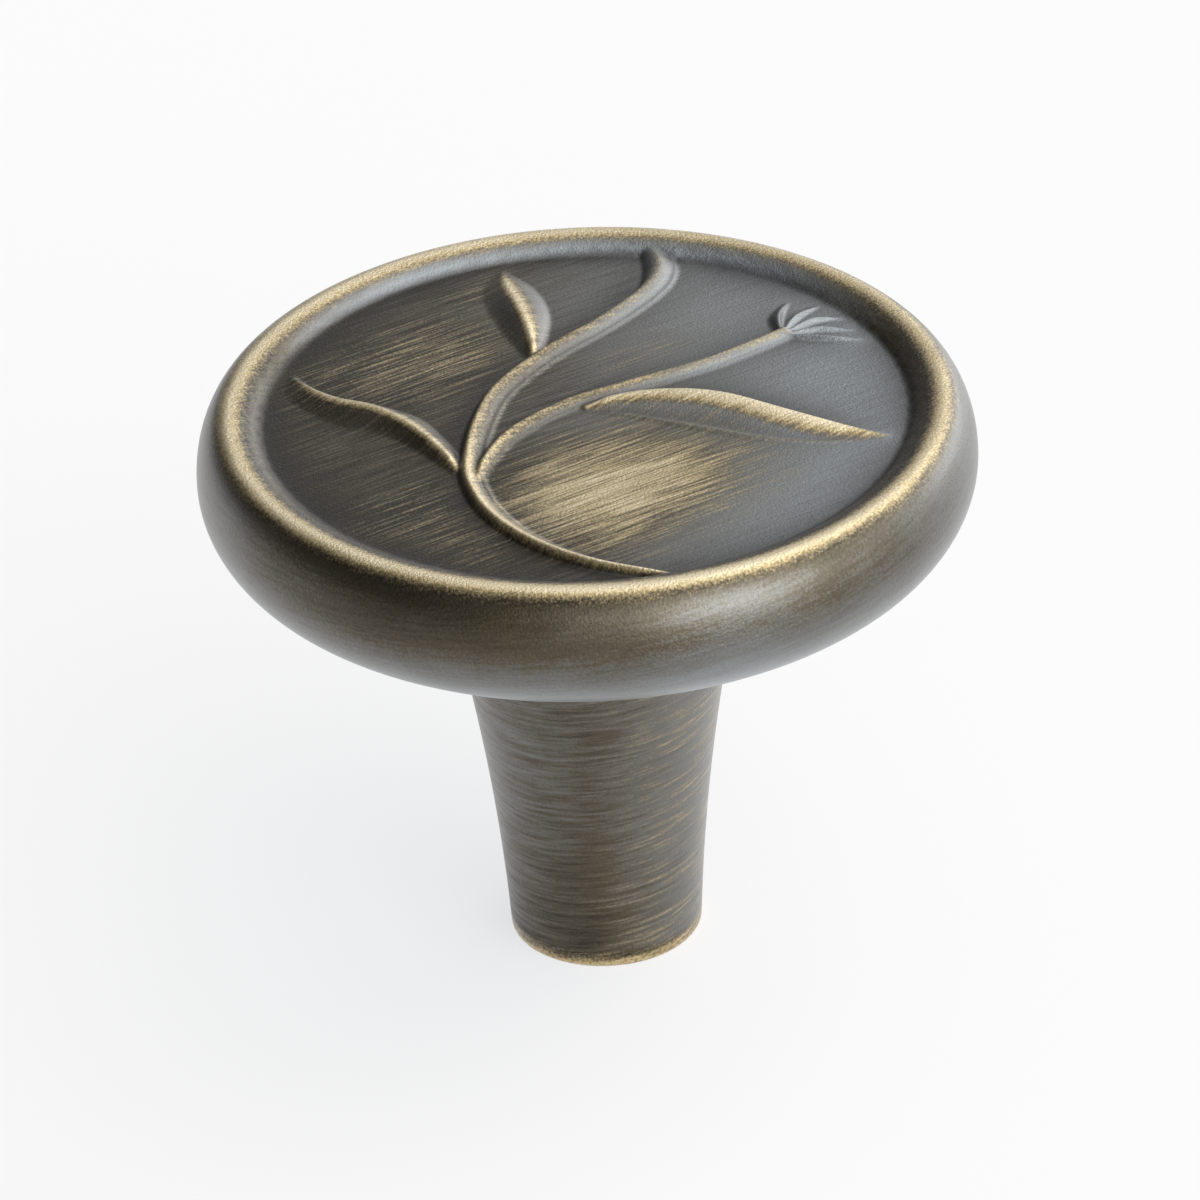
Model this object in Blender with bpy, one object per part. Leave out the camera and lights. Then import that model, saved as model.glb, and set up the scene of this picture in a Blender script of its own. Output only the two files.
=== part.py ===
"""Art nouveau cabinet knob, one brass casting with a blind tapped hole.

The knob stands on its foot at the origin, with +Z up. A slim trumpet stem
carries a round cushion head with a shallow dish in its top. A whiplash stem
with one flower and three leaves lies in the dish in low relief. Sizes are in
millimetres until they reach a mesh, which is in metres.
"""

import math

import bmesh
import bpy
from mathutils import Vector
from mathutils.geometry import interpolate_bezier

MM = 0.001

# Head: a cushion edge, widest a little below its rim
head_diameter = 40.0
head_height = 31.16           # foot to the crest of the rim
widest_below_crest = 3.3
crest_inset = 1.74            # from the widest circle in to the crest
belly_inset = 4.85            # from the widest circle in to the flat underside
belly_depth = 4.3             # from the widest circle down to the underside

# Dish in the top of the head
cove_width = 1.7              # from the crest in to the edge of the floor
dish_depth = 0.7              # from the crest down to the floor
crest_flat = 0.45             # narrow flat of the crest before the cove falls

# Stem and foot
foot_diameter = 10.0
neck_diameter = 14.9          # where the fillet under the head begins
neck_fillet = 4.2             # height of that fillet
neck_reach = 5.2              # how far it runs out under the head
straight_flare = 0.38         # share of the stem's flare that is a plain taper
foot_edge = 0.55              # rounding of the foot's outer edge

# Blind tapped hole for an M4 screw, at its minor diameter
hole_diameter = 3.3
hole_depth = 14.0
hole_mouth = 0.5              # chamfer at the foot
drill_point = 118.0           # degrees

# Ornament: ridge heights above the dish floor, and the dish it is drawn for
stem_height = 0.5
branch_height = 0.4
leaf_height = 0.7
petal_height = 0.45
drawn_radius = 16.56
drawn_cove = 1.7
root_depth = 0.6              # how far each shape is rooted in the casting
toe_depth = 0.05              # how far its edge dips under the floor

# Facets
round_steps = 80              # round the turned body
arc_steps = 7                 # across each quarter round
smooth_steps = 24             # between two drawn points of a line

head_radius = head_diameter / 2
crest_radius = head_radius - crest_inset
floor_radius = crest_radius - cove_width
floor_height = head_height - dish_depth
widest_height = head_height - widest_below_crest
underside_height = widest_height - belly_depth
underside_radius = head_radius - belly_inset
neck_height = underside_height - neck_fillet


def clear_scene():
    """Empty the scene, so that the script can be run again."""
    for old in list(bpy.data.objects):
        bpy.data.objects.remove(old, do_unlink=True)


def quarter(centre, across, upward, start, steps):
    """Points of a quarter ellipse in the (radius, height) plane."""
    points = []
    for step in range(steps + 1):
        angle = math.radians(start + 90.0 * step / steps)
        radius = centre[0] + across * math.cos(angle)
        height = centre[1] + upward * math.sin(angle)
        points.append((radius, height))
    return points


def stem_radius(height):
    """Radius of the trumpet stem at a height above the foot."""
    rise = height / neck_height
    share = straight_flare * rise + (1.0 - straight_flare) * rise * rise
    return (foot_diameter + (neck_diameter - foot_diameter) * share) / 2


def neck_outline():
    """Hollow fillet that carries the stem's flare round under the head."""
    pull = 0.55
    neck_radius = stem_radius(neck_height)
    flare = (neck_diameter - foot_diameter) / 2 * (2.0 - straight_flare) / neck_height
    reach = min(neck_reach, underside_radius - neck_radius)
    start = Vector((neck_radius, neck_height))
    end = Vector((neck_radius + reach, underside_height))
    upward = start + Vector((flare, 1.0)) * neck_fillet * pull
    inward = end - Vector((reach * pull, 0.0))
    curve = interpolate_bezier(start, upward, inward, end, arc_steps)
    return [(point.x, point.y) for point in curve]


def turned_outline():
    """Half section of the body, from the hole's point round to the dish."""
    hole_radius = hole_diameter / 2
    point_depth = hole_radius / math.tan(math.radians(drill_point / 2))
    outline = [
        (0.0, hole_depth + point_depth),
        (hole_radius, hole_depth),
        (hole_radius, hole_mouth),
        (hole_radius + hole_mouth, 0.0),
    ]
    edge_centre = (stem_radius(foot_edge) - foot_edge, foot_edge)
    outline += quarter(edge_centre, foot_edge, foot_edge, 270, 4)
    stem_steps = 8
    for step in range(1, stem_steps):
        height = foot_edge + (neck_height - foot_edge) * step / stem_steps
        outline.append((stem_radius(height), height))
    outline += neck_outline()
    belly_centre = (underside_radius, widest_height)
    outline += quarter(belly_centre, belly_inset, belly_depth, 270, arc_steps)
    rim_centre = (crest_radius, widest_height)
    outline += quarter(rim_centre, crest_inset, widest_below_crest, 0, arc_steps)[1:]
    outline.append((crest_radius - crest_flat, head_height - dish_depth * 0.3))
    outline.append((floor_radius + cove_width * 0.3, floor_height + dish_depth * 0.25))
    outline.append((floor_radius, floor_height))
    outline.append((0.0, floor_height))
    return outline


def turn(name, outline):
    """Revolve an outline about the Z axis into one closed body."""
    shape = bmesh.new()
    points = [shape.verts.new((r * MM, 0.0, z * MM)) for r, z in outline]
    edges = [shape.edges.new(pair) for pair in zip(points, points[1:])]
    bmesh.ops.spin(
        shape,
        geom=points + edges,
        cent=(0.0, 0.0, 0.0),
        axis=(0.0, 0.0, 1.0),
        angle=2 * math.pi,
        steps=round_steps,
    )
    bmesh.ops.remove_doubles(shape, verts=shape.verts, dist=0.00001)
    return as_object(name, shape)


def as_object(name, shape):
    """Turn a finished bmesh into a named object, with its faces outwards."""
    bmesh.ops.recalc_face_normals(shape, faces=shape.faces)
    mesh = bpy.data.meshes.new(name)
    shape.to_mesh(mesh)
    shape.free()
    body = bpy.data.objects.new(name, mesh)
    bpy.context.scene.collection.objects.link(body)
    return body


def between(a, b, c, d, share):
    """One value of the smooth curve from b to c, with a and d beyond them."""
    slope = c - a
    bend = 2 * a - 5 * b + 4 * c - d
    twist = 3 * b - a - 3 * c + d
    return 0.5 * (2 * b + slope * share + bend * share**2 + twist * share**3)


def smooth_line(drawn, count):
    """Evenly spaced stations along a smooth curve through the drawn ones."""
    padded = [drawn[0], *drawn, drawn[-1]]
    fine = []
    for index in range(len(drawn) - 1):
        near = padded[index:index + 4]
        for step in range(smooth_steps):
            share = step / smooth_steps
            fine.append([between(*values, share) for values in zip(*near)])
    fine.append(list(drawn[-1]))
    run = [0.0]
    for here, there in zip(fine, fine[1:]):
        run.append(run[-1] + math.dist(here[:2], there[:2]))
    line = []
    place = 0
    for step in range(count + 1):
        target = run[-1] * step / count
        while place < len(run) - 2 and run[place + 1] < target:
            place += 1
        share = (target - run[place]) / (run[place + 1] - run[place])
        pair = zip(fine[place], fine[place + 1])
        line.append([a + (b - a) * share for a, b in pair])
    return line


def on_dish(x, y, height):
    """Place a drawn point on the dish floor, or on the cove beyond it."""
    drawn = math.hypot(x, y)
    if drawn <= drawn_radius:
        scale = floor_radius / drawn_radius
    else:
        beyond = (drawn - drawn_radius) * cove_width / drawn_cove
        scale = (floor_radius + beyond) / drawn
    return Vector((x * scale, y * scale, floor_height + height)) * MM


def relief(name, sections):
    """Loft sections of (x, y, height above floor) into one rooted solid."""
    shape = bmesh.new()
    rings = []
    for section in sections:
        below = [(x, y, -root_depth) for x, y, height in (section[-1], section[0])]
        rings.append([shape.verts.new(on_dish(*point)) for point in section + below])
    for ring, following in zip(rings, rings[1:]):
        for index, corner in enumerate(ring):
            beside = (index + 1) % len(ring)
            shape.faces.new((corner, ring[beside], following[beside], following[index]))
    shape.faces.new(rings[0])
    shape.faces.new(reversed(rings[-1]))
    return as_object(name, shape)


def stalk(name, drawn, top, count):
    """A stem with a steep outer side and a long hollow inner side.

    Each drawn station is x, y, outer reach, inner reach and share of the height.
    """
    line = smooth_line(drawn, count)
    sections = []
    for index, (x, y, outer, inner, share) in enumerate(line):
        before = line[max(index - 1, 0)]
        after = line[min(index + 1, len(line) - 1)]
        heading = Vector((after[0] - before[0], after[1] - before[1])).normalized()
        outward = Vector((-heading.y, heading.x))
        ridge = Vector((x, y))
        rise = top * share
        section = []
        for side, height in (
            (outer, -toe_depth),
            (outer * 0.4, rise * 0.85),
            (0.0, rise),
            (-inner * 0.5, rise * 0.5),
            (-inner, -toe_depth),
        ):
            section.append((*(ridge + outward * side), height))
        sections.append(section)
    return relief(name, sections)


def leaf(name, ridge, steep_edge, broad_edge, top, count, root_share=0.45):
    """A pointed leaf with a steep side and a broad hollow side to its ridge."""
    ridge_line = smooth_line(ridge, count)
    steep_line = smooth_line(steep_edge, count)
    broad_line = smooth_line(broad_edge, count)
    sections = []
    for index in range(count + 1):
        share = index / count
        swell = root_share + (1.0 - root_share) * math.sin(math.pi * share) ** 0.8
        fade = math.sqrt(1.0 - share**3)
        rise = top * swell * fade + toe_depth
        crown = Vector(ridge_line[index])
        steep = Vector(steep_line[index])
        broad = Vector(broad_line[index])
        sections.append([
            (*steep, -toe_depth),
            (*crown.lerp(steep, 0.4), rise * 0.8),
            (*crown, rise),
            (*crown.lerp(broad, 0.3), rise * 0.5),
            (*crown.lerp(broad, 0.65), rise * 0.2),
            (*broad, -toe_depth),
        ])
    return relief(name, sections)


def make_stems():
    """The whiplash stem from rim to rim, and its flowering branch."""
    main_stem = stalk("main_stem", (
        (5.2, -16.9, 0.2, 0.2, 0.2), (3.4, -16.35, 0.25, 0.35, 0.8),
        (0.0, -15.05, 0.3, 0.6, 1.0), (-3.0, -12.8, 0.3, 0.8, 1.0),
        (-5.1, -9.9, 0.3, 0.95, 1.0), (-6.1, -6.7, 0.3, 1.0, 1.0),
        (-6.1, -4.0, 0.3, 1.0, 1.0), (-5.6, -0.7, 0.3, 1.05, 1.0),
        (-4.5, 2.6, 0.3, 1.0, 1.0), (-2.0, 6.1, 0.3, 0.95, 1.0),
        (0.9, 9.1, 0.3, 0.95, 1.0), (3.2, 12.1, 0.4, 1.0, 1.0),
        (4.05, 14.0, 0.75, 1.0, 1.0), (4.1, 15.6, 0.8, 0.9, 0.9),
        (3.6, 17.2, 0.5, 0.5, 0.6),
    ), stem_height, 48)
    flower_branch = stalk("flower_branch", (
        (-5.6, -7.0, 0.2, 0.3, 0.5), (-5.25, -4.75, 0.25, 0.6, 1.0),
        (-3.9, -1.9, 0.25, 0.75, 1.0), (-1.1, 0.75, 0.25, 0.75, 1.0),
        (2.1, 2.45, 0.25, 0.75, 1.0), (5.9, 4.3, 0.25, 0.75, 1.0),
        (8.6, 6.1, 0.25, 0.75, 1.0), (10.6, 7.45, 0.4, 0.6, 0.9),
    ), branch_height, 28)
    return [main_stem, flower_branch]


def make_leaves():
    """Three leaves, each drawn from its root to its tip."""
    right_leaf = leaf(
        "right_leaf",
        ((-0.1, 0.35), (2.0, 1.1), (4.5, 1.2), (7.0, 0.6), (10.0, -1.1), (13.0, -2.65), (15.3, -3.5)),
        ((-0.2, 0.6), (1.9, 1.45), (4.5, 1.6), (7.2, 0.95), (10.2, -0.75), (13.2, -2.35), (15.4, -3.4)),
        ((-0.1, 0.2), (2.0, -0.5), (4.0, -1.45), (6.5, -2.55), (9.0, -3.5), (12.0, -4.0), (15.4, -3.6)),
        leaf_height,
        18,
    )
    left_leaf = leaf(
        "left_leaf",
        ((-6.5, -5.4), (-8.0, -2.65), (-9.5, -0.6), (-11.0, 0.9), (-13.0, 2.2), (-15.05, 5.05)),
        ((-6.3, -4.3), (-7.2, -2.1), (-8.3, 0.0), (-9.8, 1.2), (-13.3, 3.1), (-14.95, 5.2)),
        ((-6.7, -5.9), (-8.4, -3.5), (-10.3, -1.4), (-12.8, -0.3), (-15.3, 2.9), (-15.15, 5.05)),
        leaf_height,
        16,
    )
    top_leaf = leaf(
        "top_leaf",
        ((-2.5, 5.8), (-2.6, 8.0), (-2.8, 9.8), (-3.2, 11.6), (-3.65, 13.2), (-4.05, 15.2)),
        ((-2.1, 6.2), (-1.75, 7.9), (-1.55, 9.9), (-1.8, 11.8), (-2.6, 13.7), (-3.95, 15.3)),
        ((-2.9, 5.6), (-4.0, 8.1), (-4.8, 10.4), (-5.2, 12.4), (-5.0, 13.9), (-4.2, 15.25)),
        leaf_height,
        14,
    )
    return [right_leaf, left_leaf, top_leaf]


def make_flower():
    """Five petals that fan out from the end of the branch."""
    calyx = Vector((10.3, 7.05))
    petals = []
    for tip, middle, half_width in (
        ((10.6, 10.9), (10.0, 9.0), 0.45),
        ((12.3, 10.2), (11.1, 8.8), 0.45),
        ((13.5, 8.7), (12.0, 8.45), 0.5),
        ((14.0, 7.4), (12.2, 7.45), 0.5),
        ((14.4, 6.4), (12.3, 6.45), 0.5),
    ):
        end = Vector(tip)
        bend = Vector(middle)
        heading = (end - calyx).normalized()
        aside = Vector((-heading.y, heading.x)) * half_width
        ridge = (calyx, bend, end)
        left_edge = (calyx + aside * 0.5, bend + aside, end + aside * 0.2)
        right_edge = (calyx - aside * 0.5, bend - aside, end - aside * 0.2)
        name = f"petal_{len(petals) + 1}"
        petals.append(leaf(name, ridge, left_edge, right_edge, petal_height, 7, 0.7))
    return petals


def cast_brass():
    """Antique brass: dark oxidised metal with a satin surface."""
    material = bpy.data.materials.new("antique_brass")
    material.use_nodes = True
    shader = material.node_tree.nodes["Principled BSDF"]
    shader.inputs["Base Color"].default_value = (0.21, 0.17, 0.11, 1.0)
    shader.inputs["Metallic"].default_value = 1.0
    shader.inputs["Roughness"].default_value = 0.4
    return material


def join_ornament(body, pieces):
    """Unite the ornament with the turned body, as one casting."""
    group = bpy.data.collections.new("ornament")
    bpy.context.scene.collection.children.link(group)
    for piece in pieces:
        bpy.context.scene.collection.objects.unlink(piece)
        group.objects.link(piece)
        piece.hide_render = True
        piece.display_type = "WIRE"
    union = body.modifiers.new("ornament", "BOOLEAN")
    union.operation = "UNION"
    union.solver = "EXACT"
    union.operand_type = "COLLECTION"
    union.collection = group


clear_scene()
knob = turn("knob", turned_outline())
knob.data.materials.append(cast_brass())
knob.data.shade_smooth()
knob.data.set_sharp_from_angle(angle=math.radians(35))
join_ornament(knob, make_stems() + make_leaves() + make_flower())
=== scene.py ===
import math

import bmesh
import bpy
from mathutils import Matrix, Vector, kdtree
from mathutils.geometry import delaunay_2d_cdt, interpolate_bezier


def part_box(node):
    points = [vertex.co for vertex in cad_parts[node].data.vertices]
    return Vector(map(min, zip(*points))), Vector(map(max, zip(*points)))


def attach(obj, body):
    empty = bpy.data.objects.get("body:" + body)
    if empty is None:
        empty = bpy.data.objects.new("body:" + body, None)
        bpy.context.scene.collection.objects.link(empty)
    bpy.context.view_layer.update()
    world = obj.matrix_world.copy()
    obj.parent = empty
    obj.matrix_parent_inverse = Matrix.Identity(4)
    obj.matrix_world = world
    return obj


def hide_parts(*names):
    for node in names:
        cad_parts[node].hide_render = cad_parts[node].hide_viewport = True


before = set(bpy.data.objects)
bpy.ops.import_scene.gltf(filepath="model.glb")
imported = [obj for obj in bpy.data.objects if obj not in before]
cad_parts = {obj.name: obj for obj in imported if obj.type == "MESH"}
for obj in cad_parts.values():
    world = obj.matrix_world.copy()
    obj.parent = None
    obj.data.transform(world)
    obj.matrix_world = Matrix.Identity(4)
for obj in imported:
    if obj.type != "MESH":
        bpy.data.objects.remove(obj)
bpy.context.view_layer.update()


# The dish in the head, cast brass like the rest of the knob. Its floor swells
# a little to its middle, and a cove rises from it to the rolled rim that a
# hand closes round. All sizes are in millimetres.

MM = 0.001
low_corner, high_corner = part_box("knob")
inside_solid = 0.002
head_radius = (high_corner[0] - low_corner[0]) / 2 / MM - inside_solid
head_height = 31.16
crest_inset = 1.74
crest_radius = head_radius - crest_inset
cove_width = 1.7
floor_radius = crest_radius - cove_width
dish_depth = 0.7
floor_height = head_height - dish_depth
floor_crown = 0.12
wall_round = 2.2


def dish_height(radius):
    """Height of the bare dish at a distance from the axis."""
    if radius < floor_radius:
        return floor_height + floor_crown * (1.0 - (radius / floor_radius) ** 2)
    share = min((radius - floor_radius) / (crest_radius - floor_radius), 1.0)
    return floor_height + dish_depth * (1.0 - (1.0 - share) ** wall_round)


# The whiplash stem and its flowering branch. Each is a raised line of brass
# with a steep outer side, a ridge, a long hollow inner side and a thin lip,
# cast with the head. The stem springs from the front rim and hooks at the back.

# The section: place from the inner edge, -1, to the outer, 1, and share of height
stem_section = (
    (1.0, -0.15), (0.85, 0.25), (0.55, 0.78), (0.2, 0.98), (0.0, 1.0), (-0.15, 0.93),
    (-0.42, 0.62), (-0.64, 0.36), (-0.8, 0.14), (-0.88, 0.34), (-0.95, 0.28), (-1.0, -0.1),
)
stem_section_steps = 22
groove_place = -0.8
groove_width = 0.06
groove_dark = 0.35
lip_place = -0.93
lip_width = 0.07
lip_wear = 0.22

# Stations along each line: x, y, outer reach, inner reach, height
main_stem = (
    (5.2, -16.9, 0.2, 0.2, 0.1), (3.4, -16.35, 0.25, 0.35, 0.4),
    (0.0, -15.05, 0.3, 0.6, 0.5), (-3.0, -12.8, 0.3, 0.8, 0.5),
    (-5.1, -9.9, 0.3, 0.95, 0.5), (-6.1, -6.7, 0.3, 1.0, 0.5),
    (-6.1, -4.0, 0.3, 1.0, 0.5), (-5.6, -0.7, 0.3, 1.05, 0.5),
    (-4.5, 2.6, 0.3, 1.0, 0.5), (-2.0, 6.1, 0.3, 0.95, 0.5),
    (0.9, 9.1, 0.3, 0.95, 0.5), (3.2, 12.1, 0.4, 1.0, 0.5),
    (4.05, 14.0, 0.75, 1.0, 0.5), (4.1, 15.6, 0.8, 0.9, 0.45),
    (3.6, 17.2, 0.5, 0.5, 0.3),
)
flower_branch = (
    (-5.6, -7.0, 0.2, 0.3, 0.2), (-5.25, -4.75, 0.25, 0.6, 0.4),
    (-3.9, -1.9, 0.25, 0.75, 0.4), (-1.1, 0.75, 0.25, 0.75, 0.4),
    (2.1, 2.45, 0.25, 0.75, 0.4), (5.9, 4.3, 0.25, 0.75, 0.4),
    (8.6, 6.1, 0.25, 0.75, 0.4), (10.6, 7.45, 0.35, 0.6, 0.45),
)
ornament = bmesh.new()
ornament_wear_and_light = ornament.verts.layers.float.new("wear")
ornament_shelter = ornament.verts.layers.float.new("shelter")
stem_shelter = 0.9


def ramp(value, start, end):
    """0 up to the start, 1 from the end on, and straight between them."""
    return min(max((value - start) / (end - start), 0.0), 1.0)


def bell(value, middle, width):
    """1 at the middle, falling smoothly to 0 on both sides of it."""
    return math.exp(-(((value - middle) / width) ** 2))


def between(a, b, c, d, share):
    """One value of the smooth curve from b to c, with a and d beyond them."""
    slope = c - a
    bend = 2 * a - 5 * b + 4 * c - d
    twist = 3 * b - a - 3 * c + d
    return 0.5 * (2 * b + slope * share + bend * share**2 + twist * share**3)


def smooth_line(drawn, count):
    """Evenly spaced stations along a smooth curve through the drawn ones."""
    fine_steps = 24
    padded = [drawn[0], *drawn, drawn[-1]]
    fine = []
    for index in range(len(drawn) - 1):
        near = padded[index:index + 4]
        for step in range(fine_steps):
            fine.append([between(*values, step / fine_steps) for values in zip(*near)])
    fine.append(list(drawn[-1]))
    run = [0.0]
    for here, there in zip(fine, fine[1:]):
        run.append(run[-1] + math.dist(here[:2], there[:2]))
    line = []
    place = 0
    for step in range(count + 1):
        target = run[-1] * step / count
        while place < len(run) - 2 and run[place + 1] < target:
            place += 1
        share = (target - run[place]) / (run[place + 1] - run[place])
        pair = zip(fine[place], fine[place + 1])
        line.append([a + (b - a) * share for a, b in pair])
    return line


def loft(sections, shelter):
    """Skin sections of (x, y, height above floor, wear) as part of the ornament.

    The shelter is how far the form was out of the brush's reach.
    """
    rows = []
    for section in sections:
        row = []
        for x, y, height, wear in section:
            base = dish_height(min(math.hypot(x, y), floor_radius))
            corner = ornament.verts.new(Vector((x, y, base + height)) * MM)
            corner[ornament_wear_and_light] = wear
            corner[ornament_shelter] = shelter
            row.append(corner)
        rows.append(row)
    for row, following in zip(rows, rows[1:]):
        for index in range(len(row) - 1):
            corners = (row[index], row[index + 1], following[index + 1], following[index])
            ornament.faces.new(corners)


def stem_wear_and_highlight(across, y, polish, spread):
    """Wear across a stem, on its ridge and lip, with a painted highlight that makes it brighter and
    wider towards the front.
    """
    # Towards the front the gold grows brighter and wider: a painted highlight
    front_highlight_gain = 0.035 if y > 0 else 0.055
    bright = polish * (1.0 - front_highlight_gain * y)
    wide = spread * (1.0 - 0.04 * min(y, 0.0))
    wear = bright * bell(across, 0.05, wide)
    wear -= groove_dark * ramp(y, -12.0, 0.0) * bell(across, groove_place, groove_width)
    return wear + lip_wear * bell(across, lip_place, lip_width)


def add_stalk(drawn, polish, spread, count):
    """Loft a stem along its stations, with its polish and how far that spreads."""
    line = smooth_line(drawn, count)
    profile = smooth_line(stem_section, stem_section_steps)
    sections = []
    for index, (x, y, outer, inner, rise) in enumerate(line):
        before = line[max(index - 1, 0)]
        after = line[min(index + 1, len(line) - 1)]
        heading = Vector((after[0] - before[0], after[1] - before[1])).normalized()
        outward = Vector((-heading.y, heading.x))
        section = []
        for across, share in profile:
            reach = outer if across > 0 else inner
            place = Vector((x, y)) + outward * across * reach
            wear = stem_wear_and_highlight(across, y, polish, spread)
            section.append((place.x, place.y, rise * share, wear))
        sections.append(section)
    loft(sections, stem_shelter)


add_stalk(main_stem, 0.5, 0.48, 260)
add_stalk(flower_branch, 0.4, 0.66, 150)


# The three leaves. Each is a raised, pointed form with a rolled ridge near
# its steep side and a broad hollow on the other; one ends in a thin lip. They
# are cast with the head too, and stand about as high as its rim.

leaf_height = 0.57
leaf_shelter = 0.45
toe_depth = 0.05
root_rise = 0.35
root_length = 0.12
leaf_steps = 120
leaf_section_steps = 26
tip_start = 0.84
tip_dulling = 0.6
steep_side_reach = 0.35
lip_start = 0.88
hollow_wear = 0.2
# How dark the painted shade in a leaf's concave middle is
painted_hollow_shade = 0.8

# The sections: place from the steep edge, -1, to the broad edge, 1, and height
leaf_section = (
    (-1.0, -0.1), (-0.75, 0.38), (-0.4, 0.76), (-0.15, 0.95), (0.0, 1.02), (0.08, 0.96),
    (0.2, 0.8), (0.4, 0.52), (0.62, 0.26), (0.84, 0.06), (1.0, -0.1),
)
lipped_section = (
    (-1.0, -0.1), (-0.7, 0.45), (-0.35, 0.88), (0.0, 1.0), (0.12, 0.98), (0.25, 0.88),
    (0.38, 0.7), (0.52, 0.46), (0.68, 0.2), (0.84, 0.02), (0.92, 0.26), (0.97, 0.22), (1.0, -0.1),
)

# Each leaf: its ridge, its steep edge and its broad edge, from root to tip
right_leaf = (
    ((-0.1, 0.35), (2.0, 1.1), (4.5, 1.2), (7.0, 0.6), (10.0, -1.1), (13.0, -2.65), (15.3, -3.5)),
    ((-0.2, 0.6), (1.9, 1.45), (4.5, 1.6), (7.2, 0.95), (10.2, -0.75), (13.2, -2.35), (15.4, -3.4)),
    ((-0.1, 0.2), (2.0, -0.5), (4.0, -1.45), (6.5, -2.55), (9.0, -3.5), (12.0, -4.0), (15.4, -3.6)),
)
left_leaf = (
    ((-6.5, -5.4), (-8.0, -2.65), (-9.5, -0.6), (-11.0, 0.9), (-13.0, 2.2), (-15.05, 5.05)),
    ((-6.3, -4.3), (-7.2, -2.1), (-8.3, 0.0), (-9.8, 1.2), (-13.3, 3.1), (-14.95, 5.2)),
    ((-6.7, -5.9), (-8.4, -3.5), (-10.3, -1.4), (-12.8, -0.3), (-15.3, 2.9), (-15.15, 5.05)),
)
top_leaf = (
    ((-2.5, 5.8), (-2.75, 8.0), (-3.1, 9.8), (-3.5, 11.6), (-3.85, 13.2), (-4.05, 15.2)),
    ((-2.1, 6.2), (-1.75, 7.9), (-1.55, 9.9), (-1.8, 11.8), (-2.6, 13.7), (-3.95, 15.3)),
    ((-2.9, 5.6), (-4.0, 8.1), (-4.8, 10.4), (-5.2, 12.4), (-5.0, 13.9), (-4.2, 15.25)),
)


def leaf_wear_and_shade(across, share, polish, spread):
    """Wear across a leaf, strongest on its ridge and duller at its tip, with painted shade in the
    concave middle of its broad side.

    A form with a polish below zero keeps it all over, as tarnish.
    """
    if polish < 0:
        return polish
    polish *= 1.0 - tip_dulling * ramp(share, tip_start, 1.0)
    if across < 0:
        return polish * bell(across, 0.0, steep_side_reach)
    reach = spread[0] + (spread[1] - spread[0]) * ramp(share, 0.1, 0.6)
    bright = bell(across, 0.0, reach)
    # Painted shade: the middle of the broad side's concave slope is darkened where it falls into
    # shade
    dark = (1.0 - bright) * bell(share, 0.5, 0.28) * (across < lip_start)
    return hollow_wear + (polish - hollow_wear) * bright - painted_hollow_shade * dark


def add_leaf(ridge, steep_edge, broad_edge, section, top, count, polish, spread, root_share):
    """Loft a leaf between its steep edge, its ridge and its broad edge."""
    ridge_line = smooth_line(ridge, count)
    steep_line = smooth_line(steep_edge, count)
    broad_line = smooth_line(broad_edge, count)
    profile = smooth_line(section, leaf_section_steps)
    sections = []
    for index in range(count + 1):
        share = index / count
        swell = root_share + (1.0 - root_share) * math.sin(math.pi * share) ** 0.8
        spring = min(root_rise + share / root_length, 1.0)
        rise = top * spring * swell * math.sqrt(1.0 - share**3) + toe_depth
        crown = Vector(ridge_line[index])
        row = []
        for across, height in profile:
            edge = broad_line[index] if across > 0 else steep_line[index]
            place = crown.lerp(Vector(edge), abs(across))
            wear = leaf_wear_and_shade(across, share, polish, spread)
            row.append((place.x, place.y, rise * height, wear))
        sections.append(row)
    loft(sections, leaf_shelter)


add_leaf(*right_leaf, lipped_section, leaf_height, leaf_steps, 1.0, (0.3, 0.6), 0.45)
add_leaf(*left_leaf, leaf_section, leaf_height, leaf_steps, 0.8, (0.32, 0.28), 0.45)
add_leaf(*top_leaf, leaf_section, leaf_height, leaf_steps, 0.85, (0.26, 0.22), 0.45)


# The flower at the end of the branch: five narrow petals that fan out from
# the calyx, like a lily seen from its side. It is the finest part of the
# casting, and its petals run into each other at their roots.

petal_height = 0.3
petal_steps = 40
calyx = Vector((10.3, 7.05))

# Each petal: tip, middle, half width, lean of its ridge, and polish
for tip, middle, half_width, lean, polish in (
    ((10.7, 10.6), (10.3, 8.9), 0.36, 0.75, -1.0),
    ((12.3, 10.2), (11.15, 8.85), 0.22, 0.6, -0.3),
    ((13.5, 8.8), (12.0, 8.5), 0.24, 0.3, 0.15),
    ((14.0, 7.5), (12.2, 7.6), 0.24, 0.0, 0.35),
    ((14.4, 6.5), (12.3, 6.75), 0.22, -0.2, 0.3),
):
    end = Vector(tip)
    bend = Vector(middle)
    heading = (end - calyx).normalized()
    aside = Vector((-heading.y, heading.x)) * half_width
    petal = (
        (calyx, bend, end),
        (calyx + aside * 0.5, bend + aside * (1.0 + lean), end + aside * 0.2),
        (calyx - aside * 0.5, bend - aside * (1.0 - lean), end - aside * 0.2),
    )
    add_leaf(*petal, leaf_section, petal_height, petal_steps, polish, (0.12, 0.12), 0.7)

ornament_mesh = bpy.data.meshes.new("ornament")
ornament.to_mesh(ornament_mesh)
ornament_form = bpy.data.objects.new("ornament", ornament_mesh)
bpy.context.scene.collection.objects.link(ornament_form)


# The knob's body, the blank that the ornament is pressed into. The real one
# is a single brass casting, turned round its stem and then drilled and tapped
# from the foot, so one closed skin runs from the hole's point to the dish.

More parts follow.
